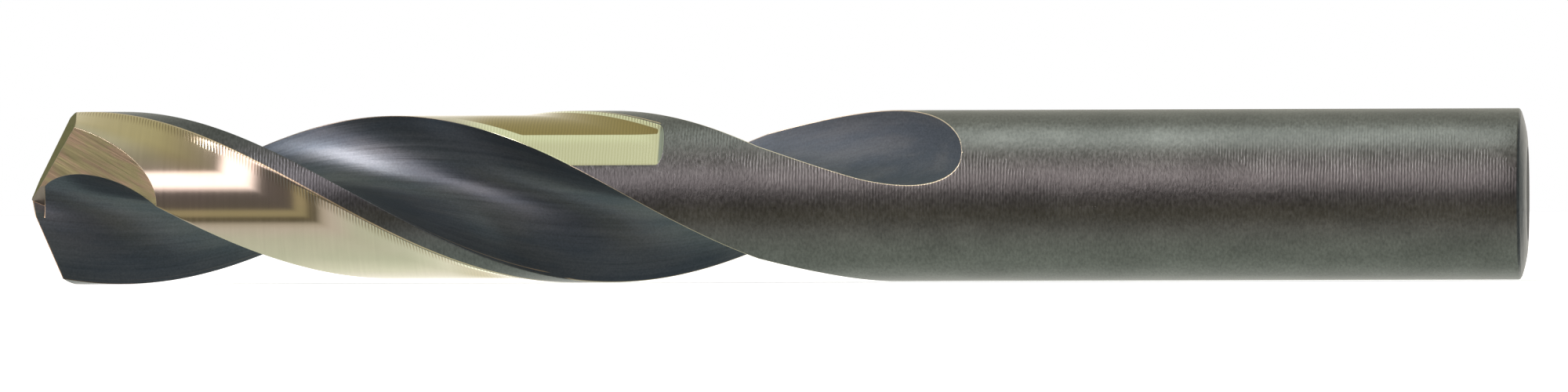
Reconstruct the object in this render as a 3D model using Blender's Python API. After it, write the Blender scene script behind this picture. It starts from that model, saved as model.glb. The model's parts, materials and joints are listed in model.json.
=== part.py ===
"""A two-flute twist drill, stub length, with a split point and a plain shank.

The drill lies on its side. Its axis runs along X, the point faces -X and the shank ends at +X. The origin is
under the middle of the drill, on the surface that it rests on. Everything is in metres.

A place along the drill is its distance from the tip. A turn about the axis is measured from -Y towards +Z, and
the helix lowers it on the way to the shank. The second flute, land and lip are the first turned half round.
"""

from math import atan2, ceil, cos, hypot, pi, radians, sin, sqrt, tan

import bmesh
import bpy
from mathutils import Matrix, Vector

# Blank: a round bar, shown with SIDES flats, and crowned at the shank end around a central flat
DIAMETER = 0.009525
SHANK_DIAMETER = 0.0094
OVERALL_LENGTH = 0.08255
END_CROWN = 0.0004
END_FLAT_RADIUS = 0.0026
CROWN_RINGS = 5
POINT_STOCK = 0.0005
SIDES = 72

# Helix, as the turn of each edge of the first land at the tip
LEAD = 0.0543
HEEL_TURN = radians(41.1)
LAND_SPAN = radians(82.4)
MARGIN_SPAN = radians(13.0)

# Flutes: an arc on the heel side, a corner at the web and a face that gives a straight lip
FLUTE_RADIUS = 0.00384
FLUTE_ARC_REACH = radians(88.0)
WEB_RADIUS = 0.00065
WEB_CORNER_SHARE = 0.06
WEB_CORNER_BEND = 0.0002
WEB_CORNER_POINTS = 3
LIP_FACE_START = 0.00085
FLUTE_WALL_POINTS = 10
RUNOUT_START = 0.0405
FLUTE_LENGTH = 0.05175
RUNOUT_TWIST = 0.72
RUNOUT_POWER = 2.6

# Body clearance behind the margins, ground by a wide straight wheel
CLEARANCE_DEPTH = 0.000275
CLEARANCE_LENGTH = 0.03545
CLEARANCE_PAST_HEEL = radians(9.0)
CLEARANCE_COLUMNS = 15
WHEEL_WIDTH = 0.008
WHEEL_CORNER = 0.00055
WHEEL_CORNER_RINGS = 4
WHEEL_LAG = radians(16.2)
WHEEL_PASSES = 24

# Point: a primary and a secondary flank behind each lip, and a notch that thins the web
POINT_ANGLE = radians(131.0)
LIP_TURN = radians(103.6)
PRIMARY_SLOPE = 0.37
SECONDARY_TILT = radians(61.3)
SECONDARY_TURN = radians(-5.2)
SECONDARY_OFFSET = -0.00075
SECONDARY_EDGE_TURN = radians(-30.0)
NOTCH_DEPTH = 0.0008
NOTCH_LIP_TURN = radians(-45.0)
NOTCH_HEEL_TURN = radians(58.3)
NOTCH_CORNER = (Vector((0.000125, -0.00013)), Vector((0.000207, -0.00044)))

# Cutters: how far they reach past the metal, as lengths or as shares of the radius
STATION_STEP = 0.0011
CUTTER_START = -0.0012
CUTTER_REACH = 0.009
CUTTER_FRONT = -0.03
LIP_FACE_REACH = 1.25
FLUTE_REACH = 1.6
SLEEVE_REACH = 1.4
WHEEL_REACH = 1.25
LEAST_FACING = 0.2

# Finish
OXIDE_COLOR = (0.09, 0.09, 0.095, 1)
OXIDE_METALLIC = 0.9
OXIDE_ROUGHNESS = 0.38
SHARP_ANGLE = radians(20.0)

RADIUS = DIAMETER / 2
SHANK_RADIUS = SHANK_DIAMETER / 2
FLUTE_SPAN = pi - LAND_SPAN
LIP_SLOPE = 1 / tan(POINT_ANGLE / 2)


def along(turn):
    """The unit vector across the axis at this turn, as (towards -Y, up)."""
    return Vector((cos(turn), sin(turn)))


def place(distance, across):
    """The point this far from the tip, and this far across the axis as (towards -Y, up)."""
    return Vector((distance - OVERALL_LENGTH / 2, -across[0], RADIUS + across[1]))


def shares(count):
    """This many evenly spaced shares, from 0 to 1."""
    return [i / (count - 1) for i in range(count)]


def stations(start, end):
    return [start + (end - start) * t for t in shares(1 + ceil((end - start) / STATION_STEP))]


def twist(distance):
    """How far the helix has turned at this distance. It slows down where the flutes run out."""
    steady = min(distance, RUNOUT_START)
    return 2 * pi / LEAD * (steady + RUNOUT_TWIST * (distance - steady))


def object_from(name, bm):
    bmesh.ops.recalc_face_normals(bm, faces=bm.faces)
    mesh = bpy.data.meshes.new(name)
    bm.to_mesh(mesh)
    bm.free()
    made = bpy.data.objects.new(name, mesh)
    bpy.context.scene.collection.objects.link(made)
    return made


def as_cutter(made):
    made.hide_render = True
    made.display_type = "WIRE"
    return made


def turned_half_round(made):
    """A copy of a cutter for the other side of the drill."""
    copy = as_cutter(made.copy())
    bpy.context.scene.collection.objects.link(copy)
    axis = Matrix.Translation((0, 0, RADIUS))
    copy.matrix_world = axis @ Matrix.Rotation(pi, 4, "X") @ axis.inverted()
    return copy


def lofted(name, rings):
    """A closed cutter through rings of equally many points, with a cap on each end."""
    bm = bmesh.new()
    loops = [[bm.verts.new(point) for point in ring] for ring in rings]
    for ring, following in zip(loops, loops[1:]):
        for i in range(len(ring)):
            j = (i + 1) % len(ring)
            bm.faces.new((ring[i], ring[j], following[j], following[i]))
    bm.faces.new(loops[0])
    bm.faces.new(loops[-1])
    bmesh.ops.triangulate(bm, faces=bm.faces, quad_method="BEAUTY", ngon_method="BEAUTY")
    return as_cutter(object_from(name, bm))


def blank_outline():
    """(distance, radius) from the point to the shank end, with a slight back taper along the flutes."""
    outline = [(-POINT_STOCK, 0), (-POINT_STOCK, RADIUS), (FLUTE_LENGTH, SHANK_RADIUS)]
    for share in reversed(shares(CROWN_RINGS)):
        radius = END_FLAT_RADIUS + (SHANK_RADIUS - END_FLAT_RADIUS) * share
        outline.append((OVERALL_LENGTH - END_CROWN * share**2, radius))
    return outline + [(OVERALL_LENGTH, 0)]


def blank():
    """The turned bar. Its flats lie outside the true circle, so the drill rests on a flat."""
    corner = along(pi / SIDES) / cos(pi / SIDES)
    bm = bmesh.new()
    verts = [bm.verts.new(place(distance, radius * corner)) for distance, radius in blank_outline()]
    edges = [bm.edges.new(pair) for pair in zip(verts, verts[1:])]
    axis = {"cent": (0, 0, RADIUS), "axis": (1, 0, 0)}
    bmesh.ops.spin(bm, geom=verts + edges, angle=2 * pi, steps=SIDES, use_merge=True, **axis)
    bmesh.ops.remove_doubles(bm, verts=bm.verts, dist=1e-6)
    return object_from("twist_drill", bm)


def straight_lip_face(outward):
    """The point of the flute's cutting side that gives a straight lip, this far out along the lip."""
    behind = LIP_SLOPE * outward - PRIMARY_SLOPE * WEB_RADIUS
    turn = LIP_TURN - pi + atan2(WEB_RADIUS, outward) + 2 * pi / LEAD * behind - HEEL_TURN
    return hypot(outward, WEB_RADIUS) * along(turn)


def flute_arc(share):
    """The flute's round wall, from beyond the heel (share 0) to beyond the cutting edge (share 1)."""
    centre = (WEB_RADIUS + FLUTE_RADIUS) * along(-FLUTE_SPAN / 2)
    return centre + FLUTE_RADIUS * along(pi - FLUTE_SPAN / 2 + FLUTE_ARC_REACH * (2 * share - 1))


def flute_outline(roundness):
    """The outline that one flute cuts across the drill, turned with the heel. roundness 1 is a plain arc."""
    wall = 0.5 - WEB_CORNER_SHARE
    heel_side = [flute_arc(wall * t) for t in shares(FLUTE_WALL_POINTS)]
    lip_side = []
    for t in shares(FLUTE_WALL_POINTS):
        lip = straight_lip_face(LIP_FACE_START + (LIP_FACE_REACH * RADIUS - LIP_FACE_START) * t)
        lip_side.append(lip.lerp(flute_arc(1 - wall * (1 - t)), roundness))
    start, end = heel_side[-1], lip_side[0]
    bend = straight_lip_face(WEB_CORNER_BEND).lerp(flute_arc(0.5), roundness)
    corner = [start.lerp(bend, t).lerp(bend.lerp(end, t), t) for t in shares(WEB_CORNER_POINTS + 2)[1:-1]]
    outer = [FLUTE_REACH * RADIUS * along(-FLUTE_SPAN * t) for t in (0.9, 0.6, 0.35, 0.1)]
    return heel_side + corner + lip_side + outer


def flute_cutter():
    rings = []
    for distance in stations(CUTTER_START, FLUTE_LENGTH):
        share = max(0.0, (distance - RUNOUT_START) / (FLUTE_LENGTH - RUNOUT_START))
        lift = (SHANK_RADIUS - WEB_RADIUS) * share**RUNOUT_POWER * along(-FLUTE_SPAN / 2)
        turned = Matrix.Rotation(HEEL_TURN - twist(distance), 2)
        outline = flute_outline(roundness=min(1, 2 * share))
        rings.append([place(distance, turned @ (point + lift)) for point in outline])
    return lofted("flute_cutter", rings)


def cleared_radius(distance, turn):
    """The radius that the grinding wheel leaves behind the margin, at its lowest pass over this place."""
    lowest = WHEEL_REACH * RADIUS
    last = min(distance + WHEEL_WIDTH, CLEARANCE_LENGTH)
    for t in shares(WHEEL_PASSES + 1):
        within = (last - distance) * t
        corner = 0.0
        if within < WHEEL_CORNER:
            corner = WHEEL_CORNER - sqrt(WHEEL_CORNER**2 - (WHEEL_CORNER - within) ** 2)
        wheel_turn = HEEL_TURN + LAND_SPAN - MARGIN_SPAN - WHEEL_LAG - 2 * pi / LEAD * (distance + within)
        facing = max(LEAST_FACING, cos(turn - wheel_turn))
        lowest = min(lowest, (RADIUS - CLEARANCE_DEPTH + corner) / facing)
    return lowest


def clearance_cutter():
    """A sleeve whose inner wall is the ground surface, from the flute behind the heel to the margin."""
    corner_start = CLEARANCE_LENGTH - WHEEL_CORNER
    corner_shares = shares(WHEEL_CORNER_RINGS + 1)[1:]
    corner_rings = [corner_start + WHEEL_CORNER * sin(pi / 2 * t) for t in corner_shares]
    span = CLEARANCE_PAST_HEEL + LAND_SPAN - MARGIN_SPAN
    rings = []
    for distance in stations(CUTTER_START, corner_start) + corner_rings:
        start = HEEL_TURN - CLEARANCE_PAST_HEEL - 2 * pi / LEAD * distance
        turns = [start + span * t for t in shares(CLEARANCE_COLUMNS + 1)]
        inner = [cleared_radius(distance, turn) * along(turn) for turn in turns]
        outer = [SLEEVE_REACH * RADIUS * along(turn) for turn in reversed(turns)]
        rings.append([place(distance, point) for point in inner + outer])
    return lofted("clearance_cutter", rings)


def flank_cutter(name, corners, slope, offset):
    """What a flat flank grinds off in front of the plane: offset + slope . across, over these corners."""
    back = [place(offset + slope.dot(corner), corner) for corner in corners]
    front = [place(CUTTER_FRONT, corner) for corner in corners]
    return lofted(name, [back, front])


def primary_cutter():
    slope = LIP_SLOPE * along(LIP_TURN) - PRIMARY_SLOPE * along(LIP_TURN + pi / 2)
    corners = [CUTTER_REACH * along(LIP_TURN + pi / 4 + pi / 2 * i) for i in range(4)]
    return flank_cutter("primary_flank_cutter", corners, slope, 0)


def secondary_cutter():
    """The steep flank behind the first, kept on its own side of the flute."""
    slope = tan(SECONDARY_TILT) * along(SECONDARY_TURN)
    side = CUTTER_REACH * along(SECONDARY_EDGE_TURN)
    up = CUTTER_REACH * along(SECONDARY_EDGE_TURN + pi / 2)
    corners = [side, side + up, up - side, -side]
    return flank_cutter("secondary_flank_cutter", corners, slope, SECONDARY_OFFSET)


def notch_cutter():
    """The notch that thins the web and splits the chisel edge."""
    lip_side, heel_side = CUTTER_REACH * along(NOTCH_LIP_TURN), CUTTER_REACH * along(NOTCH_HEEL_TURN)
    rings = []
    for distance in (-POINT_STOCK, NOTCH_DEPTH):
        corner = NOTCH_CORNER[0].lerp(NOTCH_CORNER[1], distance / NOTCH_DEPTH)
        outline = (corner, corner + lip_side, corner + lip_side + heel_side, corner + heel_side)
        rings.append([place(distance, point) for point in outline])
    return lofted("notch_cutter", rings)


def cut(solid, cutter):
    modifier = solid.modifiers.new(cutter.name, "BOOLEAN")
    modifier.operation = "DIFFERENCE"
    modifier.solver = "EXACT"
    modifier.object = cutter


def black_steel():
    """High-speed steel with a black oxide finish."""
    material = bpy.data.materials.new("black_oxide_steel")
    material.use_nodes = True
    shader = material.node_tree.nodes["Principled BSDF"]
    shader.inputs["Base Color"].default_value = OXIDE_COLOR
    shader.inputs["Metallic"].default_value = OXIDE_METALLIC
    shader.inputs["Roughness"].default_value = OXIDE_ROUGHNESS
    return material


def build():
    for old in list(bpy.data.objects):
        bpy.data.objects.remove(old)
    drill = blank()
    for make in (flute_cutter, clearance_cutter, primary_cutter, secondary_cutter, notch_cutter):
        first = make()
        cut(drill, first)
        cut(drill, turned_half_round(first))
    drill.data.materials.append(black_steel())
    drill.data.shade_smooth()
    drill.data.set_sharp_from_angle(angle=SHARP_ANGLE)


build()
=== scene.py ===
"""The looks of a stub length twist drill: its fine ground surfaces, its finishes and a plain studio.

The visible drill is one closed mesh. Rings of points follow the flutes and lands along the helix, and the
point is cut by the planes of its flanks and notches. A place along the drill is its distance from the tip. A
turn about the axis is measured from -Y towards +Z, and the helix lowers it on the way to the shank. Everything
is in metres, except the distances that the mesh stores for its finishes, which are in millimetres.
"""

import json
from math import atan2, ceil, cos, pi, radians, sin, tan

import bmesh
import bpy
import numpy as np
from mathutils import Matrix, Vector


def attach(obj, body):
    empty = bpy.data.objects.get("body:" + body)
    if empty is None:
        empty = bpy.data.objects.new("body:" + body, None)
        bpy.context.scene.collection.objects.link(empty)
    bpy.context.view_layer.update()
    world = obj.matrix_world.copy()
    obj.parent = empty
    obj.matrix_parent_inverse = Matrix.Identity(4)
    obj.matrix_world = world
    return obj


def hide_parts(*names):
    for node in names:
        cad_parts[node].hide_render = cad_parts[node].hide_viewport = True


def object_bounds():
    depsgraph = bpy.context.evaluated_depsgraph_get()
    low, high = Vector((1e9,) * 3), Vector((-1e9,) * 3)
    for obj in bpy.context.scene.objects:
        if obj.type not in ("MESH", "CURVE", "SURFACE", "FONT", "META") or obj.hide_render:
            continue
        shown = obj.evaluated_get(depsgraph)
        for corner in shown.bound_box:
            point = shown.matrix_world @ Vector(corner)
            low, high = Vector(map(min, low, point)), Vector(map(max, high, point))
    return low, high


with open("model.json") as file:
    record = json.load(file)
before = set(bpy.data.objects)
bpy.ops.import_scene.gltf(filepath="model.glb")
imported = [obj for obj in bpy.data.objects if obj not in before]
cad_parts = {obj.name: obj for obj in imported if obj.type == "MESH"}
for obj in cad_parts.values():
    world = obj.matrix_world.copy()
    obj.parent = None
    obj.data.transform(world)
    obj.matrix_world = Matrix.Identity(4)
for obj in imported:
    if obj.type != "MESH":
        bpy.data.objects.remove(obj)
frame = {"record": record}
cad_low, cad_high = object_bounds()

# Sizes that the frame gives
LENGTH = cad_high[0] - cad_low[0]
TIP_X = cad_low[0]
RADIUS = frame["record"]["mounts"][0]["pos_m"][2]

# Body, as in the CAD
SHANK_RADIUS = 0.0047
END_CROWN = 0.0004
END_FLAT_RADIUS = 0.0026
LEAD = 0.0543
HEEL_TURN = radians(41.1)
LAND_SPAN = radians(82.4)
MARGIN_SPAN = radians(13.0)
FLUTE_RADIUS = 0.00384
FLUTE_ARC_REACH = radians(88.0)
WEB_RADIUS = 0.00065
WEB_CORNER_SHARE = 0.06
WEB_CORNER_BEND = 0.0002
LIP_FACE_START = 0.00085
LIP_FACE_REACH = 1.25
RUNOUT_START = 0.0405
FLUTE_LENGTH = 0.05175
RUNOUT_TWIST = 0.72
RUNOUT_POWER = 2.6
RUNOUT_ROUNDING = 2
CLEARANCE_DEPTH = 0.000275
CLEARANCE_LENGTH = 0.03545
WHEEL_WIDTH = 0.008
WHEEL_CORNER = 0.00055
WHEEL_LAG = radians(16.2)

# Point, as in the CAD
POINT_STOCK = 0.0005
POINT_ANGLE = radians(131.0)
LIP_TURN = radians(103.6)
PRIMARY_SLOPE = 0.37
SECONDARY_TILT = radians(61.3)
SECONDARY_TURN = radians(-5.2)
SECONDARY_OFFSET = -0.00075
SECONDARY_EDGE_TURN = radians(-30.0)
NOTCH_DEPTH = 0.0008
NOTCH_LIP_TURN = radians(-45.0)
NOTCH_HEEL_TURN = radians(58.3)
NOTCH_CORNER = (Vector((0.000125, -0.00013)), Vector((0.000207, -0.00044)))
CUTTER_REACH = 0.009
CUTTER_FRONT = -0.03

# Fine mesh: the rounds on its edges, how closely its points stand, and what counts as sharp, flat or merged
EDGE_ROUND = 0.00004
EDGE_ROUND_SHARE = 0.12
EDGE_POINTS = 4
STEP_ROUND = 0.00007
STEP_POINTS = 4
FLUTE_COLUMNS = 48
CLEARED_COLUMNS = 60
MARGIN_COLUMNS = 8
WALL_SAMPLES = 160
WALL_SMOOTHING = 0.00012
SMOOTHING_WIDTHS = 3
WHEEL_SAMPLES = 40
LEAST_FACING = 0.2
FIRST_RING = -0.0004
CLEARED_RING_GAP = 0.0002
CORNER_RING_GAP = 0.00003
PLAIN_RING_GAP = 0.00025
PAST_CLEARANCE = 1e-6
RUNOUT_RINGS = 80
RUNOUT_RING_POWER = 1.7
SHANK_RINGS = 31
END_ROUND = 0.00012
END_ROUND_RISE = 0.00002
END_ROUND_RINGS = 4
CROWN_START = 0.93
CROWN_RINGS = 10
MERGE_DISTANCE = 2e-7
SHORTEST_EDGE = 1e-8
SHARP_ANGLE = radians(32)
FLAT_ANGLE = radians(1)
NOTCH_WALL_SLACK = radians(25)
NOTCH_FLOOR_NORMAL = 0.7

# What the mesh stores for its finishes
FAR_GAP = 1.0
HEEL_SLACK = radians(20)
GROUND_OVERRUN = 0.0002
UNGROUND = -0.001
# The turn that moves the painted reflection in the recess round from where the wheel left its floor
RECESS_REFLECTION_TURN = radians(11.8)
MILLIMETRES = 1000

# The order of the finishes on the mesh. Those of the point's facets come last.
FLUTE, LAND, SHANK_END, NOTCH, PRIMARY, SECONDARY = range(6)

# Finishes: noise grains per metre along each axis, linear colours, and the shades and roughness that noise
# spreads. FROM_TIP and XS are places in metres. FROM_MARGIN, REACH, SPLIT and GROUND_DEPTH are millimetres.
BROAD_NOISE = (0.3, 0.7)
MIDDLE_NOISE = (0.35, 0.65)
NARROW_NOISE = (0.38, 0.62)
BEVEL_SAMPLES = 6
SOFT_EDGE = 0.00006
EDGE_COSINES = (0.97, 0.995)
WORN_REACH = (0.02, 0.065)

FLUTE_STREAKS = (70, 7000, 7000)
FLUTE_STREAK_SHADES = (0.9, 1.1)
FLUTE_STREAK_DEPTH = 0.000008
FLUTE_PATCHES = (160, 700, 700)
FLUTE_SPECKLE = (9000, 9000, 9000)
FLUTE_SPECKLE_SHADES = (0.7, 1.3)
FLUTE_DARK = (0.080, 0.098, 0.113)
FLUTE_LIGHT = (0.108, 0.122, 0.130)
FLUTE_EDGE = (0.62, 0.46, 0.28)
FLUTE_ROUGHNESS = (0.2, 0.44)
FLUTE_METALLIC = 0.8
RUNOUT_MATTE = 0.3
RUNOUT_MATTE_XS = (-0.0035, 0.0)

LAND_RINGS = (6500, 160, 160)
LAND_GRAIN = (8000, 4000, 4000)
LAND_CLOUD = (300, 500, 500)
LAND_OXIDE = (0.122, 0.128, 0.132)
SHANK_OXIDE = (0.15, 0.152, 0.146)
SHANK_OXIDE_XS = (-0.03, 0.01)
CLOUD_SHADES = (0.88, 1.12)
GRAIN_SHADES = (0.45, 1.55)
LAND_EDGE = (0.75, 0.66, 0.48)
OXIDE_ROUGHNESS = (0.27, 0.47)
BARE_ROUGHNESS = (0.1, 0.18)
RING_DEPTHS = (0.000007, 0.0000008)
GRAIN_DEPTHS = (0.000014, 0.0000005)
GROUND_DEPTH = (0.0, 0.012)

STRAW = (0.62, 0.565, 0.45)
WARM_STRAW = (0.66, 0.585, 0.48)
RING_SHADES = (0.93, 1.07)
# Painted reflection: the olive that the clearance shows by the margin at the tip.
TIP_OLIVE_REFLECTION = (0.60, 0.50, 0.30)
TIP_REFLECTION_FROM_MARGIN = (1.6, 3.4)
TIP_REFLECTION_FROM_TIP = (0.0075, 0.0115)
# Painted reflection in the recess at the end of the clearance: brown on its floor, bright yellow-white where it
# rises.
RECESS_BROWN_REFLECTION = (0.40, 0.315, 0.14)
RECESS_BRIGHT_REFLECTION = (1.0, 1.0, 0.72)
RECESS_SPLIT = (0.002, 0.005)
RECESS_FROM_TIP = (0.023, 0.026)
GROOVE_SHADES = (0.9, 1.05)
TICK_SPACING = 0.00017
TICK_DRIFT = (900, 900, 900)
TICK_DRIFT_PHASE = 5.0
TICK_SINES = (-0.2, 0.7)
TICK_FROM_MARGIN = (0.25, 0.85)
TICK_COLOR = (0.3, 0.22, 0.12)
TICK_STRENGTH = 0.6
TICK_DEPTH = 0.000004
STEP_LINE = (0.66, 0.54, 0.36)
STEP_LINE_END = (0.0005, 0.0003)
POINT_OUTLINE = (0.16, 0.08, 0.03)
POINT_OUTLINE_EDGE = 0.00008
POINT_OUTLINE_FROM_TIP = (0.0055, 0.006)

END_GRAIN = (8000, 8000, 8000)
END_COLOR = (0.05, 0.049, 0.043)
END_SHADES = (0.7, 1.3)
END_ROUGHNESS = (0.5, 0.7)
END_DEPTH = 0.000006
END_METALLIC = 0.7

LINE_SLOPE = radians(28)
FLANK_LINES = (250, 300, 7000)
FLANK_TINT = (400, 400, 2500)
FLANK_SHADES = (0.35, 1.65)
FLANK_ROUGHNESS = (0.25, 0.5)
FLANK_DEPTH = 0.00001
# Lighter along the flanks' sharp edges: partly worn edge, partly painted highlight on the ridges.
FLANK_WEAR_AND_HIGHLIGHT = (0.66, 0.58, 0.42)
# One ground steel: the primary's dark olive and the secondary's lighter brown-gold paint the light each facet
# reflects.
PRIMARY_COLORS = ((0.20, 0.20, 0.09), (0.25, 0.23, 0.12), (0.4, 0.4, 0.25))
SECONDARY_COLORS = ((0.52, 0.45, 0.23), (0.57, 0.41, 0.26), (1.0, 1.0, 1.0))

NOTCH_LINES = (3000, 3000, 800)
NOTCH_COLOR = (0.55, 0.44, 0.36)
NOTCH_SHADES = (0.75, 1.25)
NOTCH_ROUGHNESS = 0.3
NOTCH_LINE_DEPTH = 0.000004

# Studio: BANDS is the light's colour by degrees about the drill: 0 in front, 90 overhead, 180 behind, -90 below
BRIGHTEST = 14.0
BANDS = (
    (-180, (1.3, 1.25, 1.15)), (-145, (1.15, 1.18, 1.08)), (-125, (1.0, 1.08, 0.95)), (-98, (0.78, 0.86, 0.74)),
    (-62, (0.72, 0.76, 0.66)), (-46, (0.74, 0.7, 0.65)), (-38, (0.6, 0.55, 0.48)), (-34, (0.15, 0.13, 0.09)),
    (-29, (0.15, 0.13, 0.09)), (-26, (0.46, 0.4, 0.25)), (-20, (0.46, 0.4, 0.25)), (-15, (0.15, 0.13, 0.12)),
    (0, (0.15, 0.13, 0.13)), (20, (0.2, 0.18, 0.18)), (40, (0.36, 0.32, 0.28)), (60, (0.42, 0.4, 0.32)),
    (90, (0.62, 0.64, 0.52)), (120, (0.66, 0.68, 0.58)), (150, (0.78, 0.78, 0.67)), (180, (1.3, 1.25, 1.15)),
)
SIDE_SINES = (0.35, 0.6)
SIDE_COLOR = (0.24, 0.27, 0.28)
FRONT_BAND = (radians(6), radians(19), radians(32), radians(41))
FRONT_BAND_SINES = (0.03, -0.03)
FRONT_BAND_COLOR = (2.6, 2.2, 2.3)
PANEL_SIDE = radians(35)
PANEL_ELEVATION = radians(50)
PANEL_COSINES = (cos(radians(13.5)), cos(radians(7)))
PANEL_COLOR = (14.0, 12.8, 13.4)
SOFTBOX_START = -0.006
SOFTBOX_END = 0.045
SOFTBOX_WIDTH = 0.034
SOFTBOX_HEIGHT = 0.06
SOFTBOX_ELEVATION = radians(81)
SOFTBOX_COLOR = (0.92, 1.0, 0.98)
SOFTBOX_RADIANCE = 1.85
FLOOR_REACH = 3.0
FLOOR_COLOR = (0.85, 0.85, 0.85, 1)
FLOOR_ROUGHNESS = 0.9
FLOOR_GLOW = 0.6

# Camera
CAMERA_YAW = radians(4.5)
CAMERA_ROLL = 0.00294
LENS = 350.0
SENSOR_WIDTH = 36.0
VIEW_WIDTH = 0.08626
VIEW_MIDDLE = 0.04165
CLIP_START = 0.01
CLIP_END = 20

FLUTE_SPAN = pi - LAND_SPAN
LIP_SLOPE = 1 / tan(POINT_ANGLE / 2)
HELIX = 2 * pi / LEAD


def along(turn):
    """Unit vectors across the axis at these turns, as (towards -Y, up)."""
    return np.stack([np.cos(turn), np.sin(turn)], axis=-1)


def place(distance, across):
    """The points this far from the tip and this far across the axis."""
    across = np.asarray(across)
    xs = np.full(len(across), TIP_X + distance)
    return np.stack([xs, -across[:, 0], RADIUS + across[:, 1]], axis=-1)


def twist(distance):
    """How far the helix has turned, a little slower in the run-out."""
    steady = np.minimum(distance, RUNOUT_START)
    return HELIX * (steady + RUNOUT_TWIST * (distance - steady))


def body_radius(distance):
    """The radius of the margins, which tapers from the point to the shank."""
    share = np.clip((distance + POINT_STOCK) / (FLUTE_LENGTH + POINT_STOCK), 0, 1)
    return RADIUS + (SHANK_RADIUS - RADIUS) * share


def cleared_radius(distance, turn):
    """The radius that the grinding wheel leaves, for arrays of distances and of turns measured from the tip."""
    inner = RADIUS - CLEARANCE_DEPTH
    wheel_start = HEEL_TURN + LAND_SPAN - MARGIN_SPAN - WHEEL_LAG - HELIX * distance
    last = np.minimum(WHEEL_WIDTH, CLEARANCE_LENGTH - distance)
    facing_at = np.clip((wheel_start - turn) / HELIX, 0, last)
    lowest = np.full(np.broadcast(distance, turn).shape, np.inf)
    starts = np.minimum(WHEEL_CORNER, last)
    candidates = [facing_at] + [starts * i / WHEEL_SAMPLES for i in range(WHEEL_SAMPLES + 1)]
    for within in candidates:
        short = np.clip(WHEEL_CORNER - within, 0, WHEEL_CORNER)
        corner = WHEEL_CORNER - np.sqrt(WHEEL_CORNER**2 - short**2)
        facing = np.maximum(LEAST_FACING, np.cos(turn - wheel_start + HELIX * within))
        lowest = np.minimum(lowest, (inner + corner) / facing)
    return np.where(distance < CLEARANCE_LENGTH, lowest, 2 * RADIUS)


def straight_lip_face(outward):
    """Points of the flute's cutting side that gives a straight lip."""
    behind = LIP_SLOPE * outward - PRIMARY_SLOPE * WEB_RADIUS
    turn = LIP_TURN - pi + np.arctan2(WEB_RADIUS, outward) + HELIX * behind - HEEL_TURN
    return np.hypot(outward, WEB_RADIUS)[..., None] * along(turn)


def flute_arc(share):
    """Points of the round flute, at these shares of the way from the heel to the cutting side."""
    centre = (WEB_RADIUS + FLUTE_RADIUS) * along(np.array(-FLUTE_SPAN / 2))
    turn = pi - FLUTE_SPAN / 2 + FLUTE_ARC_REACH * (2 * np.asarray(share) - 1)
    return centre + FLUTE_RADIUS * along(turn)


def resampled(points, spots):
    """Points at these shares of the way along a line of points."""
    steps = np.hypot(*np.diff(points, axis=0).T)
    reach = np.concatenate([[0], np.cumsum(steps)])
    at = np.asarray(spots) * reach[-1]
    return np.stack([np.interp(at, reach, points[:, i]) for i in (0, 1)], axis=-1)


def smoothed(points):
    """The line with its bends eased over WALL_SMOOTHING."""
    step = np.hypot(*(points[1] - points[0]))
    width = max(1.0, WALL_SMOOTHING / step)
    reach = int(SMOOTHING_WIDTHS * width)
    offsets = np.arange(-reach, reach + 1)
    weights = np.exp(-0.5 * (offsets / width) ** 2)
    weights /= weights.sum()
    index = np.clip(np.arange(len(points))[:, None] + offsets, 0, len(points) - 1)
    return (points[index] * weights[None, :, None]).sum(axis=1)


def flute_wall(roundness):
    """The whole section of one flute, from beyond the cutting edge to beyond the heel."""
    wall = 0.5 - WEB_CORNER_SHARE
    t = np.linspace(0, 1, WALL_SAMPLES)[:, None]
    heel_side = flute_arc(wall * t[:, 0])
    outward = LIP_FACE_START + (LIP_FACE_REACH * RADIUS - LIP_FACE_START) * t[:, 0]
    round_lip = flute_arc(1 - wall * (1 - t[:, 0]))
    lip_side = straight_lip_face(outward) * (1 - roundness) + round_lip * roundness
    bend = straight_lip_face(np.array(WEB_CORNER_BEND)) * (1 - roundness) + flute_arc(0.5) * roundness
    start, end = heel_side[-1], lip_side[0]
    corner = (start * (1 - t) + bend * t) * (1 - t) + (bend * (1 - t) + end * t) * t
    line = np.concatenate([heel_side, corner[1:-1], lip_side])[::-1]
    return smoothed(resampled(line, np.linspace(0, 1, 4 * WALL_SAMPLES)))


def inside_land(line, lip_radius, heel_radius):
    """The part of the line inside the land, ending exactly on it at the cutting edge and at the heel.

    Where the flute has run out, it is two points in the same place.
    """
    reach = np.hypot(line[:, 0], line[:, 1])
    if np.count_nonzero(reach < lip_radius) < 2:
        return np.stack([lip_radius * along(-FLUTE_SPAN / 2)] * 2)
    first = np.nonzero(reach < lip_radius)[0][0]
    last = np.nonzero(reach < heel_radius)[0][-1]

    def crossing(a, b, radius):
        t = (radius - reach[a]) / (reach[b] - reach[a])
        return line[a] + (line[b] - line[a]) * t

    lip, heel = crossing(first - 1, first, lip_radius), crossing(last, last + 1, heel_radius)
    return np.concatenate([[lip], line[first : last + 1], [heel]])


def eased_corner(before, corner, after):
    """The points of a small round between two walls that meet at a corner."""
    t = np.linspace(0, 1, EDGE_POINTS + 2)[1:-1, None]
    return (before * (1 - t) + corner * t) * (1 - t) + (corner * (1 - t) + after * t) * t


def land_turns(heel_turn, lip_turn, back, round_turn):
    """Turns of the points on one land from heel to cutting edge, and the turn of the step to its margin."""
    step = heel_turn + (lip_turn - heel_turn) * (1 - MARGIN_SPAN / LAND_SPAN)
    turns = np.concatenate([
        np.linspace(heel_turn + back, step - round_turn, CLEARED_COLUMNS + 1),
        step + round_turn * np.linspace(-1, 0, STEP_POINTS + 1)[1:],
        np.linspace(step + round_turn / 2, lip_turn - back, MARGIN_COLUMNS + 1),
    ])
    return turns, step


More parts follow.
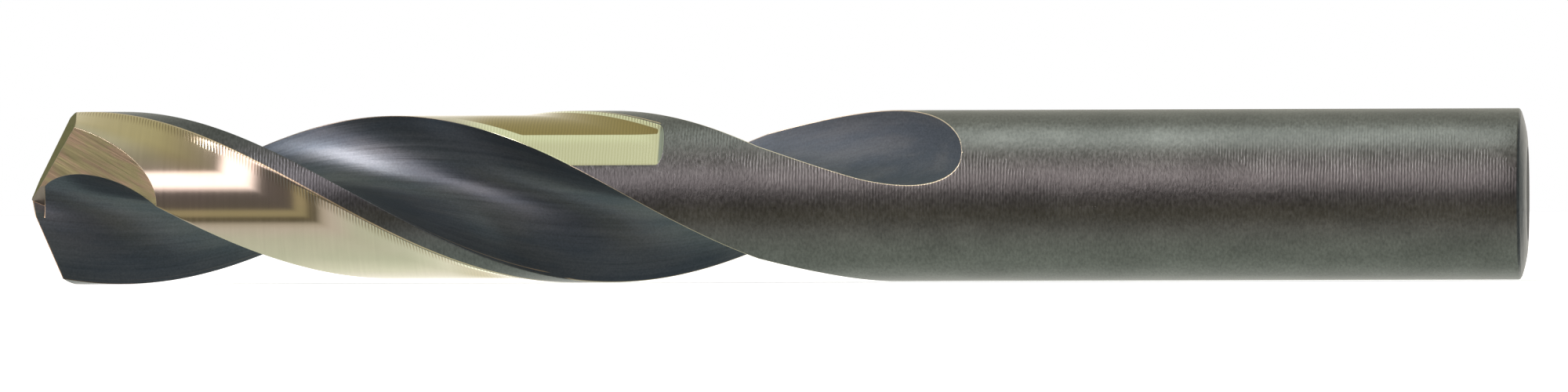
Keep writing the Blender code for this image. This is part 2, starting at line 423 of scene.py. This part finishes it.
def land_radii(distance, turns, heel_angle, step, round_turn):
    """Radii of the points on one land: the ground clearance, a round step and the full margin."""
    radius = body_radius(distance)
    radii = np.minimum(radius, cleared_radius(distance, turns + heel_angle))
    radii[turns > step] = radius
    rise = np.clip((turns - step + round_turn) / round_turn, 0, 1)
    on_step = (turns > step - round_turn) & (turns <= step)
    radii[on_step] += (radius - radii[on_step]) * (1 - np.sqrt(1 - rise[on_step] ** 2))
    return radii


def half_section(distance):
    """Half of the outline across the drill, over one flute and the land beside it.

    It comes with the heel's radius and the turns of the heel and the cutting edge.
    """
    share = np.clip((distance - RUNOUT_START) / (FLUTE_LENGTH - RUNOUT_START), 0, 1)
    lift = (SHANK_RADIUS - WEB_RADIUS) * share**RUNOUT_POWER * along(np.array(-FLUTE_SPAN / 2))
    radius = body_radius(distance)
    whole_wall = flute_wall(min(1, RUNOUT_ROUNDING * share)) + lift
    heel_angle = HEEL_TURN - twist(distance)
    heel_radius = min(radius, cleared_radius(distance, heel_angle))
    wall = inside_land(whole_wall, radius, heel_radius)
    length = np.hypot(*np.diff(wall, axis=0).T).sum()
    edge = min(EDGE_ROUND, EDGE_ROUND_SHARE * length)
    trim = edge / max(length, SHORTEST_EDGE)
    flute = resampled(wall, np.linspace(trim, 1 - trim, FLUTE_COLUMNS + 1))
    lip_turn = np.arctan2(wall[0, 1], wall[0, 0])
    heel_turn = np.arctan2(wall[-1, 1], wall[-1, 0])
    round_turn = STEP_ROUND / radius
    turns, step = land_turns(heel_turn, lip_turn + pi, edge / radius, round_turn)
    land = land_radii(distance, turns, heel_angle, step, round_turn)[:, None] * along(turns)
    heel_corner = eased_corner(flute[-1], wall[-1], land[0])
    lip_corner = eased_corner(land[-1], -wall[0], -flute[0])
    outline = np.concatenate([flute, heel_corner, land, lip_corner])
    ahead = along(heel_angle)
    turned = np.array([[ahead[0], -ahead[1]], [ahead[1], ahead[0]]])
    corners = [np.hypot(*wall[-1]), heel_turn + heel_angle, lip_turn + heel_angle]
    return outline @ turned.T, corners


def stations():
    """Distances of the rings, closer together where the clearance ends and where the flutes run out."""
    def evenly(start, end, gap):
        return list(np.linspace(start, end, 1 + ceil((end - start) / gap))[:-1])

    corner_start = CLEARANCE_LENGTH - WHEEL_CORNER
    past_clearance = CLEARANCE_LENGTH + PAST_CLEARANCE
    runout = np.linspace(1, 0, RUNOUT_RINGS) ** RUNOUT_RING_POWER
    return (
        evenly(FIRST_RING, corner_start, CLEARED_RING_GAP)
        + evenly(corner_start, past_clearance, CORNER_RING_GAP)
        + evenly(past_clearance, RUNOUT_START, PLAIN_RING_GAP)
        + list(FLUTE_LENGTH - (FLUTE_LENGTH - RUNOUT_START) * runout)
    )


def shank_profile():
    """(distance, radius) along the shank behind the flutes, over the worn corner and the crowned end."""
    crown_start = LENGTH - END_CROWN
    straight = crown_start - END_ROUND - FLUTE_LENGTH
    profile = [(FLUTE_LENGTH + t * straight, SHANK_RADIUS) for t in np.linspace(0, 1, SHANK_RINGS + 1)[1:]]
    for share in np.linspace(0, 1, END_ROUND_RINGS + 1)[1:]:
        turn = pi / 2 * share
        distance = crown_start - END_ROUND * (1 - sin(turn)) + END_ROUND_RISE * share
        profile.append((distance, SHANK_RADIUS - END_ROUND * (1 - cos(turn))))
    for share in np.linspace(CROWN_START, 0, CROWN_RINGS):
        radius = END_FLAT_RADIUS + (SHANK_RADIUS - END_FLAT_RADIUS) * share
        profile.append((LENGTH - END_CROWN * share**2, radius))
    return profile


def body_rings():
    """The points of every ring, and the heel and cutting edge of each ring that has flutes."""
    rings, corners = [], []
    for distance in stations():
        half, corner = half_section(distance)
        rings.append(place(distance, np.concatenate([half, -half])))
        corners.append([distance, *corner])
    half, _ = half_section(FLUTE_LENGTH)
    round_section = np.concatenate([half, -half])
    round_section /= np.hypot(round_section[:, 0], round_section[:, 1])[:, None]
    for distance, radius in shank_profile():
        rings.append(place(distance, round_section * radius))
    return rings, np.array(corners)


def body_mesh():
    """The whole drill before its point is ground, as one closed mesh."""
    rings, corners = body_rings()
    columns = len(rings[0])
    half = columns // 2
    points = np.concatenate(rings)
    faces, finishes = [], []
    for start in range(0, len(points) - columns, columns):
        for c in range(columns):
            a, b = start + c, start + (c + 1) % columns
            faces.append((a, b, b + columns, a + columns))
            finishes.append(FLUTE if c % half < FLUTE_COLUMNS else LAND)
    faces.append(tuple(range(columns)))
    faces.append(tuple(range(len(points) - columns, len(points)))[::-1])
    finishes += [LAND, SHANK_END]
    mesh = bpy.data.meshes.new("drill")
    mesh.from_pydata(points.tolist(), [], faces)
    mesh.polygons.foreach_set("material_index", finishes)
    bm = bmesh.new()
    bm.from_mesh(mesh)
    bmesh.ops.remove_doubles(bm, verts=bm.verts, dist=MERGE_DISTANCE)
    bmesh.ops.dissolve_degenerate(bm, edges=bm.edges, dist=SHORTEST_EDGE)
    bmesh.ops.recalc_face_normals(bm, faces=bm.faces)
    bm.to_mesh(mesh)
    bm.free()
    return mesh, corners


def solid_between(name, back, front):
    """A closed cutter between two loops of equally many points."""
    bm = bmesh.new()
    loops = [[bm.verts.new(point) for point in loop] for loop in (back, front)]
    for i in range(len(back)):
        j = (i + 1) % len(back)
        bm.faces.new((loops[0][i], loops[0][j], loops[1][j], loops[1][i]))
    bm.faces.new(loops[0])
    bm.faces.new(loops[1])
    bmesh.ops.triangulate(bm, faces=bm.faces)
    bmesh.ops.recalc_face_normals(bm, faces=bm.faces)
    mesh = bpy.data.meshes.new(name)
    bm.to_mesh(mesh)
    bm.free()
    made = bpy.data.objects.new(name, mesh)
    bpy.context.scene.collection.objects.link(made)
    return made


def spot(distance, across):
    """The point this far from the tip and this far across the axis."""
    return Vector((TIP_X + distance, -across[0], RADIUS + across[1]))


def direction(turn):
    """The unit vector across the axis at this turn."""
    return Vector((cos(turn), sin(turn)))


def flank_cutter(name, corners, slope, offset):
    """What a flat flank grinds off in front of its plane, over these corners."""
    back = [spot(offset + slope.dot(corner), corner) for corner in corners]
    front = [spot(CUTTER_FRONT, corner) for corner in corners]
    return solid_between(name, back, front)


def notch_cutter():
    """What the notch beside the web grinds off. The wall along NOTCH_HEEL_TURN has a finish of its own."""
    lip_side = CUTTER_REACH * direction(NOTCH_LIP_TURN)
    heel_side = CUTTER_REACH * direction(NOTCH_HEEL_TURN)
    loops = []
    for distance in (-POINT_STOCK, NOTCH_DEPTH):
        corner = NOTCH_CORNER[0].lerp(NOTCH_CORNER[1], distance / NOTCH_DEPTH)
        outline = (corner, corner + lip_side, corner + lip_side + heel_side, corner + heel_side)
        loops.append([spot(distance, point) for point in outline])
    notch = solid_between("notch_cutter", *loops)
    wall_turn = NOTCH_HEEL_TURN + pi / 2
    for face in notch.data.polygons:
        off_turn = abs(atan2(face.normal.z, -face.normal.y) - wall_turn)
        on_floor = abs(face.normal.x) > NOTCH_FLOOR_NORMAL
        face.material_index = int(off_turn < NOTCH_WALL_SLACK and not on_floor)
    return notch


def point_cutters():
    """The cutters of one half of the point, each with the finishes that it leaves."""
    slope = LIP_SLOPE * direction(LIP_TURN) - PRIMARY_SLOPE * direction(LIP_TURN + pi / 2)
    corners = [CUTTER_REACH * direction(LIP_TURN + pi / 4 + pi / 2 * i) for i in range(4)]
    primary = flank_cutter("primary_cutter", corners, slope, 0)
    slope = tan(SECONDARY_TILT) * direction(SECONDARY_TURN)
    side = CUTTER_REACH * direction(SECONDARY_EDGE_TURN)
    up = CUTTER_REACH * direction(SECONDARY_EDGE_TURN + pi / 2)
    secondary = flank_cutter("secondary_cutter", [side, side + up, up - side, -side], slope, SECONDARY_OFFSET)
    return (primary, [PRIMARY]), (secondary, [SECONDARY]), (notch_cutter(), [FLUTE, NOTCH])


def half_turn(made):
    """A copy turned half round the axis."""
    copy = made.copy()
    bpy.context.scene.collection.objects.link(copy)
    axis = Matrix.Translation((0, 0, RADIUS))
    copy.matrix_world = axis @ Matrix.Rotation(pi, 4, "X") @ axis.inverted()
    return copy


def ground(made, cutters):
    """The mesh of the body after every cutter has cut it."""
    for cutter in cutters:
        modifier = made.modifiers.new(cutter.name, "BOOLEAN")
        modifier.operation = "DIFFERENCE"
        modifier.solver = "MANIFOLD"
        modifier.material_mode = "TRANSFER"
        modifier.object = cutter
    bpy.context.view_layer.update()
    graph = bpy.context.evaluated_depsgraph_get()
    final = bpy.data.meshes.new_from_object(made.evaluated_get(graph))
    made.modifiers.clear()
    for cutter in cutters:
        bpy.data.objects.remove(cutter)
    return final


def drill():
    """The whole drill as one object, with its finishes."""
    mesh, corners = body_mesh()
    made = bpy.data.objects.new("drill_body", mesh)
    bpy.context.scene.collection.objects.link(made)
    finishes = {
        FLUTE: flute_finish(), LAND: land_finish(), SHANK_END: end_finish(), NOTCH: notch_finish(),
        PRIMARY: flank_finish("primary_flank", *PRIMARY_COLORS),
        SECONDARY: flank_finish("secondary_flank", *SECONDARY_COLORS),
    }
    for index in sorted(finishes):
        mesh.materials.append(finishes[index])
    cutters = []
    for cutter, left in point_cutters():
        for index in left:
            cutter.data.materials.append(finishes[index])
        cutters += [cutter, half_turn(cutter)]
    made.data = ground(made, cutters)
    made.data.shade_smooth()
    made.data.set_sharp_from_angle(angle=SHARP_ANGLE)
    sharpen_facets(made.data)
    mark_surface(made.data, corners)
    return made


def sharpen_facets(mesh):
    """Keeps the ground facets of the point flat right up to their edges."""
    bm = bmesh.new()
    bm.from_mesh(mesh)
    for edge in bm.edges:
        if any(face.material_index >= NOTCH for face in edge.link_faces):
            edge.smooth = edge.calc_face_angle(pi) < FLAT_ANGLE
    bm.to_mesh(mesh)
    bm.free()


def edge_gap(distance, across, corners):
    """How far points are from the nearest heel or cutting edge.

    Each row of corners is a ring's distance from the tip, the heel's radius and the turns of the two edges.
    """
    radius = np.interp(distance, corners[:, 0], corners[:, 1])
    gap = np.full(len(distance), FAR_GAP)
    for column in (2, 3):
        corner_turn = np.interp(distance, corners[:, 0], np.unwrap(corners[:, column]))
        for half in (0, pi):
            corner = radius[:, None] * along(corner_turn + half)
            gap = np.minimum(gap, np.hypot(*(across - corner).T))
    return np.hypot(gap, np.maximum(0, distance - FLUTE_LENGTH))


def mark_surface(mesh, corners):
    """Stores what the finishes need to know at each point, in millimetres.

    edge_gap is the distance to the nearest long edge and to_margin the one to the step of the margin. ground is
    how deep the wheel cut, and above_floor how high it left the body over the floor of the clearance.
    """
    co = np.empty(len(mesh.vertices) * 3)
    mesh.vertices.foreach_get("co", co)
    co = co.reshape(-1, 3)
    distance = co[:, 0] - TIP_X
    across = np.stack([-co[:, 1], co[:, 2] - RADIUS], axis=-1)
    turn = np.arctan2(across[:, 1], across[:, 0])
    heel = HEEL_TURN - HELIX * distance
    since_heel = np.mod(turn - heel + HEEL_SLACK, pi) - HEEL_SLACK
    to_margin = (LAND_SPAN - MARGIN_SPAN - since_heel) * RADIUS
    depth = body_radius(distance) - cleared_radius(distance, heel + since_heel)
    depth = np.where(to_margin < 0, to_margin, depth)
    depth = np.where(distance < CLEARANCE_LENGTH + GROUND_OVERRUN, depth, UNGROUND)
    # above_floor is taken a little round from each point, to place the painted reflection in the recess.
    above_floor = cleared_radius(distance, heel + since_heel - RECESS_REFLECTION_TURN) - (RADIUS - CLEARANCE_DEPTH)
    stored = {
        "edge_gap": edge_gap(distance, across, corners), "ground": depth,
        "to_margin": to_margin, "above_floor": above_floor,
    }
    for name, values in stored.items():
        layer = mesh.attributes.new(name, "FLOAT", "POINT")
        layer.data.foreach_set("value", (values * MILLIMETRES).astype(np.float32))


class Graph:
    """Short calls for making shader nodes."""

    def __init__(self, owner):
        owner.use_nodes = True
        self.nodes = owner.node_tree.nodes
        self.links = owner.node_tree.links

    def put(self, value, socket):
        if isinstance(value, bpy.types.NodeSocket):
            self.links.new(value, socket)
        else:
            socket.default_value = value

    def put_color(self, color, socket):
        self.put(color if isinstance(color, bpy.types.NodeSocket) else (*color, 1.0), socket)

    def operate(self, kind, operation, values):
        node = self.nodes.new(kind)
        node.operation = operation
        for value, socket in zip(values, node.inputs):
            self.put(value, socket)
        return node

    def math(self, operation, *values):
        return self.operate("ShaderNodeMath", operation, values).outputs[0]

    def vector(self, operation, *values):
        return self.operate("ShaderNodeVectorMath", operation, values).outputs["Vector"]

    def dot(self, *values):
        return self.operate("ShaderNodeVectorMath", "DOT_PRODUCT", values).outputs["Value"]

    def parts(self, where):
        """The x, y and z of a point or a direction."""
        node = self.nodes.new("ShaderNodeSeparateXYZ")
        self.links.new(where, node.inputs[0])
        return node.outputs

    def between(self, value, low, high, to_low=0.0, to_high=1.0):
        """A value eased from to_low to to_high while the given one goes from low to high."""
        node = self.nodes.new("ShaderNodeMapRange")
        node.interpolation_type = "SMOOTHSTEP"
        self.put(value, node.inputs["Value"])
        for name, number in zip(("From Min", "From Max", "To Min", "To Max"), (low, high, to_low, to_high)):
            self.put(number, node.inputs[name])
        return node.outputs[0]

    def fading(self, value, low, high):
        """1 up to the low value and 0 from the high one."""
        return self.between(value, low, high, 1.0, 0.0)

    def spread(self, share, ends):
        """A value that goes evenly from the first end to the second as the share goes from 0 to 1."""
        start, end = ends
        return self.math("ADD", start, self.math("MULTIPLY", share, end - start))

    def mix(self, share, first, second):
        node = self.nodes.new("ShaderNodeMix")
        node.data_type = "RGBA"
        self.put(share, node.inputs[0])
        self.put_color(first, node.inputs[6])
        self.put_color(second, node.inputs[7])
        return node.outputs[2]


class Finish(Graph):
    """The nodes of one material of the drill."""

    def __init__(self, name):
        self.material = bpy.data.materials.new(name)
        super().__init__(self.material)
        self.shader = self.nodes["Principled BSDF"]

    def here(self):
        """The point on the surface, measured from the axis at the middle of the drill."""
        node = self.nodes.new("ShaderNodeTexCoord")
        return self.vector("SUBTRACT", node.outputs["Object"], (0, 0, RADIUS))

    def turned(self, where, kind, angle):
        """The point turned about one of the axes through the middle of the drill."""
        node = self.nodes.new("ShaderNodeVectorRotate")
        node.rotation_type = kind
        self.put(where, node.inputs["Vector"])
        self.put(angle, node.inputs["Angle"])
        return node.outputs[0]

    def noise(self, where, grain, detail=3.0, rough=0.55):
        """Noise with this many grains per metre along each axis."""
        node = self.nodes.new("ShaderNodeTexNoise")
        node.inputs["Scale"].default_value = 1.0
        node.inputs["Detail"].default_value = detail
        node.inputs["Roughness"].default_value = rough
        self.links.new(self.vector("MULTIPLY", where, grain), node.inputs["Vector"])
        return node.outputs[0]

    def attribute(self, name):
        node = self.nodes.new("ShaderNodeAttribute")
        node.attribute_name = name
        return node.outputs["Fac"]

    def worn(self):
        """A mask of the long edges."""
        return self.fading(self.attribute("edge_gap"), *WORN_REACH)

    def shade(self, color, share):
        """The colour made lighter or darker by a share around 1."""
        node = self.nodes.new("ShaderNodeVectorMath")
        node.operation = "SCALE"
        self.put(color, node.inputs[0])
        self.put(share, node.inputs["Scale"])
        return node.outputs[0]

    def bump(self, height, distance, below=None):
        node = self.nodes.new("ShaderNodeBump")
        self.put(distance, node.inputs["Distance"])
        self.links.new(height, node.inputs["Height"])
        if below is not None:
            self.links.new(below, node.inputs["Normal"])
        return node.outputs[0]

    def softened(self, radius):
        """The normal rounded over near sharp edges, and a mask of those edges."""
        bevel = self.nodes.new("ShaderNodeBevel")
        bevel.samples = BEVEL_SAMPLES
        bevel.inputs["Radius"].default_value = radius
        flat = self.nodes.new("ShaderNodeNewGeometry")
        agreement = self.dot(bevel.outputs[0], flat.outputs["Normal"])
        return bevel.outputs[0], self.fading(agreement, *EDGE_COSINES)

    def finish(self, color, roughness, normal, metallic=1.0):
        self.put(metallic, self.shader.inputs["Metallic"])
        self.put(color, self.shader.inputs["Base Color"])
        self.put(roughness, self.shader.inputs["Roughness"])
        self.put(normal, self.shader.inputs["Normal"])
        return self.material


def from_tip(distances):
    """The x of places at these distances from the tip."""
    return [TIP_X + distance for distance in distances]


def flute_finish():
    """Black oxide over polished flutes, with fine lines along the helix and a more matte run-out."""
    g = Finish("flute_black_oxide")
    here = g.here()
    x = g.parts(here)[0]
    flow = g.turned(here, "X_AXIS", g.math("MULTIPLY", x, -HELIX))
    streaks = g.noise(flow, FLUTE_STREAKS, detail=5.0, rough=0.65)
    patches = g.noise(flow, FLUTE_PATCHES)
    speckle = g.noise(flow, FLUTE_SPECKLE, detail=2.0)
    color = g.mix(g.between(patches, *MIDDLE_NOISE), FLUTE_DARK, FLUTE_LIGHT)
    color = g.shade(color, g.spread(speckle, FLUTE_SPECKLE_SHADES))
    color = g.shade(color, g.between(streaks, *BROAD_NOISE, *FLUTE_STREAK_SHADES))
    normal, edge = g.softened(SOFT_EDGE)
    color = g.mix(g.math("MAXIMUM", g.worn(), edge), color, FLUTE_EDGE)
    matte = g.math("MULTIPLY", g.between(x, *RUNOUT_MATTE_XS), RUNOUT_MATTE)
    rough = g.math("ADD", g.spread(streaks, FLUTE_ROUGHNESS), matte)
    return g.finish(color, rough, g.bump(streaks, FLUTE_STREAK_DEPTH, below=normal), metallic=FLUTE_METALLIC)


def land_oxide(g, x, cloud, grain):
    """The colour of the black oxide: lighter on the shank, and bare along the long edges."""
    color = g.mix(g.between(x, *SHANK_OXIDE_XS), LAND_OXIDE, SHANK_OXIDE)
    color = g.shade(color, g.between(cloud, *BROAD_NOISE, *CLOUD_SHADES))
    color = g.shade(color, g.spread(grain, GRAIN_SHADES))
    return g.mix(g.worn(), color, LAND_EDGE)


def bare_clearance(g, x, cloud, rings, grooves):
    """The clearance's straw, with painted reflection: olive by the margin at the tip, brown and bright in the
    end recess.
    """
    color = g.mix(g.between(cloud, *BROAD_NOISE), STRAW, WARM_STRAW)
    by_margin = g.fading(g.attribute("to_margin"), *TIP_REFLECTION_FROM_MARGIN)
    by_tip = g.fading(x, *from_tip(TIP_REFLECTION_FROM_TIP))
    # Painted reflection: olive by the margin at the tip.
    color = g.mix(g.math("MULTIPLY", by_margin, by_tip), color, TIP_OLIVE_REFLECTION)
    color = g.shade(color, g.spread(rings, RING_SHADES))
    # Painted reflection in the recess: brown on its floor and bright yellow-white where it rises.
    recess = g.mix(g.between(g.attribute("above_floor"), *RECESS_SPLIT), RECESS_BROWN_REFLECTION, RECESS_BRIGHT_REFLECTION)
    recess = g.shade(recess, g.between(grooves, -1.0, 1.0, *GROOVE_SHADES))
    return g.mix(g.between(x, *from_tip(RECESS_FROM_TIP)), color, recess)


def wheel_grooves(g, here, x):
    """Fine even grooves across the clearance that drift a little, as a wave from -1 to 1."""
    drift = g.math("MULTIPLY", g.noise(here, TICK_DRIFT, detail=1.0), TICK_DRIFT_PHASE)
    return g.math("SINE", g.math("ADD", g.math("MULTIPLY", x, 2 * pi / TICK_SPACING), drift))


def step_line(g, x):
    """A mask of the step up to the margin, as far as the clearance goes."""
    near = g.fading(g.math("ABSOLUTE", g.attribute("to_margin")), *WORN_REACH)
    end = from_tip([CLEARANCE_LENGTH - gap for gap in STEP_LINE_END])
    return g.math("MULTIPLY", near, g.fading(x, *end))


def land_finish():
    """Ground land and shank: black oxide, and bare straw-coloured steel where the clearance was ground."""
    g = Finish("land_and_clearance")
    here = g.here()
    x = g.parts(here)[0]
    rings = g.noise(here, LAND_RINGS, detail=4.0)
    grain = g.noise(here, LAND_GRAIN)
    cloud = g.noise(here, LAND_CLOUD, detail=4.0)
    grooves = wheel_grooves(g, here, x)
    near_margin = g.fading(g.attribute("to_margin"), *TICK_FROM_MARGIN)
    ticks = g.math("MULTIPLY", g.between(grooves, *TICK_SINES), near_margin)
    bare = bare_clearance(g, x, cloud, rings, grooves)
    bare = g.mix(g.math("MULTIPLY", ticks, TICK_STRENGTH), bare, TICK_COLOR)
    ground = g.between(g.attribute("ground"), *GROUND_DEPTH)
    color = g.mix(ground, land_oxide(g, x, cloud, grain), bare)
    color = g.mix(step_line(g, x), color, STEP_LINE)
    _, edge = g.softened(POINT_OUTLINE_EDGE)
    at_point = g.fading(x, *from_tip(POINT_OUTLINE_FROM_TIP))
    color = g.mix(g.math("MULTIPLY", edge, at_point), color, POINT_OUTLINE)
    oxide_rough = g.spread(grain, OXIDE_ROUGHNESS)
    smoother = g.math("SUBTRACT", g.spread(rings, BARE_ROUGHNESS), oxide_rough)
    rough = g.math("ADD", oxide_rough, g.math("MULTIPLY", smoother, ground))
    normal = g.bump(rings, g.spread(ground, RING_DEPTHS))
    normal = g.bump(grain, g.spread(ground, GRAIN_DEPTHS), below=normal)
    normal = g.bump(ticks, TICK_DEPTH, below=normal)
    return g.finish(color, rough, normal)


def end_finish():
    """The dark, dull end of the shank."""
    g = Finish("shank_end")
    grain = g.noise(g.here(), END_GRAIN, detail=2.0)
    color = g.shade(END_COLOR, g.spread(grain, END_SHADES))
    rough = g.spread(grain, END_ROUGHNESS)
    return g.finish(color, rough, g.bump(grain, END_DEPTH), metallic=END_METALLIC)


def flank_finish(name, olive, straw, edge_tint):
    """A flank of the point, with straight lines from the wheel and painted light in its colours. Both halves of
    the drill show the same ones.
    """
    g = Finish(name)
    x, y, z = g.parts(g.here())
    half = g.math("SIGN", z)
    front = g.nodes.new("ShaderNodeCombineXYZ")
    for value, socket in zip((x, g.math("MULTIPLY", y, half), g.math("MULTIPLY", z, half)), front.inputs):
        g.put(value, socket)
    across = g.turned(front.outputs[0], "Y_AXIS", -LINE_SLOPE)
    lines = g.noise(across, FLANK_LINES, detail=5.0, rough=0.65)
    tint = g.noise(across, FLANK_TINT, detail=2.0)
    color = g.mix(g.between(tint, *NARROW_NOISE), straw, olive)
    color = g.shade(color, g.spread(lines, FLANK_SHADES))
    normal, edge = g.softened(SOFT_EDGE)
    # Partly worn edge, partly painted highlight along the ridges.
    color = g.mix(edge, color, FLANK_WEAR_AND_HIGHLIGHT)
    g.put_color(edge_tint, g.shader.inputs["Specular Tint"])
    return g.finish(color, g.spread(lines, FLANK_ROUGHNESS), g.bump(lines, FLANK_DEPTH, below=normal))


def notch_finish():
    """The one bright wall of the notch that thins the web."""
    g = Finish("point_notch")
    lines = g.noise(g.here(), NOTCH_LINES)
    color = g.shade(NOTCH_COLOR, g.spread(lines, NOTCH_SHADES))
    return g.finish(color, NOTCH_ROUGHNESS, g.bump(lines, NOTCH_LINE_DEPTH))


def dimmed(color):
    """The light's colour as a share of the brightest."""
    return tuple(value / BRIGHTEST for value in color)


def band_colors(g, elevation):
    """The colour of the light at each height, from a ramp over the whole turn about the drill's axis."""
    node = g.nodes.new("ShaderNodeValToRGB")
    g.links.new(g.math("ADD", g.math("DIVIDE", elevation, 2 * pi), 0.5), node.inputs[0])
    stops = node.color_ramp.elements
    while len(stops) < len(BANDS):
        stops.new(0.5)
    for stop, (degrees, color) in zip(stops, BANDS):
        stop.position = degrees / 360 + 0.5
        stop.color = (*dimmed(color), 1)
    return node.outputs[0]


def front_band(g, side, elevation):
    """A mask of the bright band in front, on the side of the drill's tip only."""
    low, full_from, full_to, high = FRONT_BAND
    height = g.math("MULTIPLY", g.between(elevation, low, full_from), g.between(elevation, high, full_to))
    return g.math("MULTIPLY", height, g.between(side, *FRONT_BAND_SINES))


def environment():
    """Light by direction: soft bands by height, dimmer to the sides, a bright band and a round panel in front.

    The camera itself sees plain white.
    """
    world = bpy.data.worlds.new("studio")
    bpy.context.scene.world = world
    g = Graph(world)
    direction_seen = g.nodes.new("ShaderNodeTexCoord").outputs["Generated"]
    side, away, up = g.parts(direction_seen)
    elevation = g.math("ARCTAN2", up, g.math("MULTIPLY", away, -1.0))
    to_side = g.between(g.math("ABSOLUTE", side), *SIDE_SINES)
    light = g.mix(to_side, band_colors(g, elevation), dimmed(SIDE_COLOR))
    light = g.mix(front_band(g, side, elevation), light, dimmed(FRONT_BAND_COLOR))
    ahead = cos(PANEL_SIDE)
    panel = (-sin(PANEL_SIDE), -ahead * cos(PANEL_ELEVATION), ahead * sin(PANEL_ELEVATION))
    in_panel = g.between(g.dot(direction_seen, panel), *PANEL_COSINES)
    light = g.mix(in_panel, light, dimmed(PANEL_COLOR))
    shown = g.nodes["Background"]
    shown.inputs["Strength"].default_value = BRIGHTEST
    g.links.new(light, shown.inputs["Color"])
    plain = g.nodes.new("ShaderNodeBackground")
    plain.inputs["Color"].default_value = (1, 1, 1, 1)
    path = g.nodes.new("ShaderNodeLightPath")
    both = g.nodes.new("ShaderNodeMixShader")
    for value, socket in zip((path.outputs["Is Camera Ray"], shown.outputs[0], plain.outputs[0]), both.inputs):
        g.links.new(value, socket)
    g.links.new(both.outputs[0], g.nodes["World Output"].inputs["Surface"])


def softbox():
    """A long soft light overhead, from near the middle of the drill to past the end of the shank."""
    data = bpy.data.lights.new("softbox", "AREA")
    data.shape = "RECTANGLE"
    length = SOFTBOX_END - SOFTBOX_START
    data.size, data.size_y = length, SOFTBOX_WIDTH
    data.color = SOFTBOX_COLOR
    data.energy = SOFTBOX_RADIANCE * pi * length * SOFTBOX_WIDTH
    made = bpy.data.objects.new("softbox", data)
    bpy.context.scene.collection.objects.link(made)
    toward = Vector((0, -cos(SOFTBOX_ELEVATION), sin(SOFTBOX_ELEVATION)))
    made.location = Vector(((SOFTBOX_START + SOFTBOX_END) / 2, 0, RADIUS)) + SOFTBOX_HEIGHT * toward
    made.rotation_euler = (pi / 2 - SOFTBOX_ELEVATION, 0, 0)
    made.visible_camera = False


def floor():
    """A plain pale floor that glows a little and doesn't show in the drill's reflections."""
    mesh = bpy.data.meshes.new("floor")
    corners = [(FLOOR_REACH * x, FLOOR_REACH * y, 0) for x, y in ((-1, -1), (1, -1), (1, 1), (-1, 1))]
    mesh.from_pydata(corners, [], [(0, 1, 2, 3)])
    made = bpy.data.objects.new("floor", mesh)
    bpy.context.scene.collection.objects.link(made)
    material = bpy.data.materials.new("pale_floor")
    material.use_nodes = True
    shader = material.node_tree.nodes["Principled BSDF"]
    shader.inputs["Base Color"].default_value = FLOOR_COLOR
    shader.inputs["Roughness"].default_value = FLOOR_ROUGHNESS
    shader.inputs["Emission Color"].default_value = (1, 1, 1, 1)
    shader.inputs["Emission Strength"].default_value = FLOOR_GLOW
    mesh.materials.append(material)
    made.visible_glossy = False


def camera():
    """A long lens, level with the axis and moved round a little so that the shank's end just shows."""
    data = bpy.data.cameras.new("camera")
    data.lens, data.sensor_width = LENS, SENSOR_WIDTH
    data.clip_start, data.clip_end = CLIP_START, CLIP_END
    made = bpy.data.objects.new("camera", data)
    bpy.context.scene.collection.objects.link(made)
    back = Vector((sin(CAMERA_YAW), -cos(CAMERA_YAW), 0))
    made.rotation_mode = "QUATERNION"
    roll = Matrix.Rotation(-CAMERA_ROLL, 3, "Z").to_quaternion()
    made.rotation_quaternion = back.to_track_quat("Z", "Y") @ roll
    made.location = Vector((TIP_X + VIEW_MIDDLE, 0, RADIUS)) + back * (LENS / SENSOR_WIDTH * VIEW_WIDTH)
    bpy.context.scene.camera = made


body = drill()
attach(body, "root")
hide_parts("twist_drill")
environment()
softbox()
floor()
camera()
bpy.context.scene.view_settings.view_transform = "Standard"
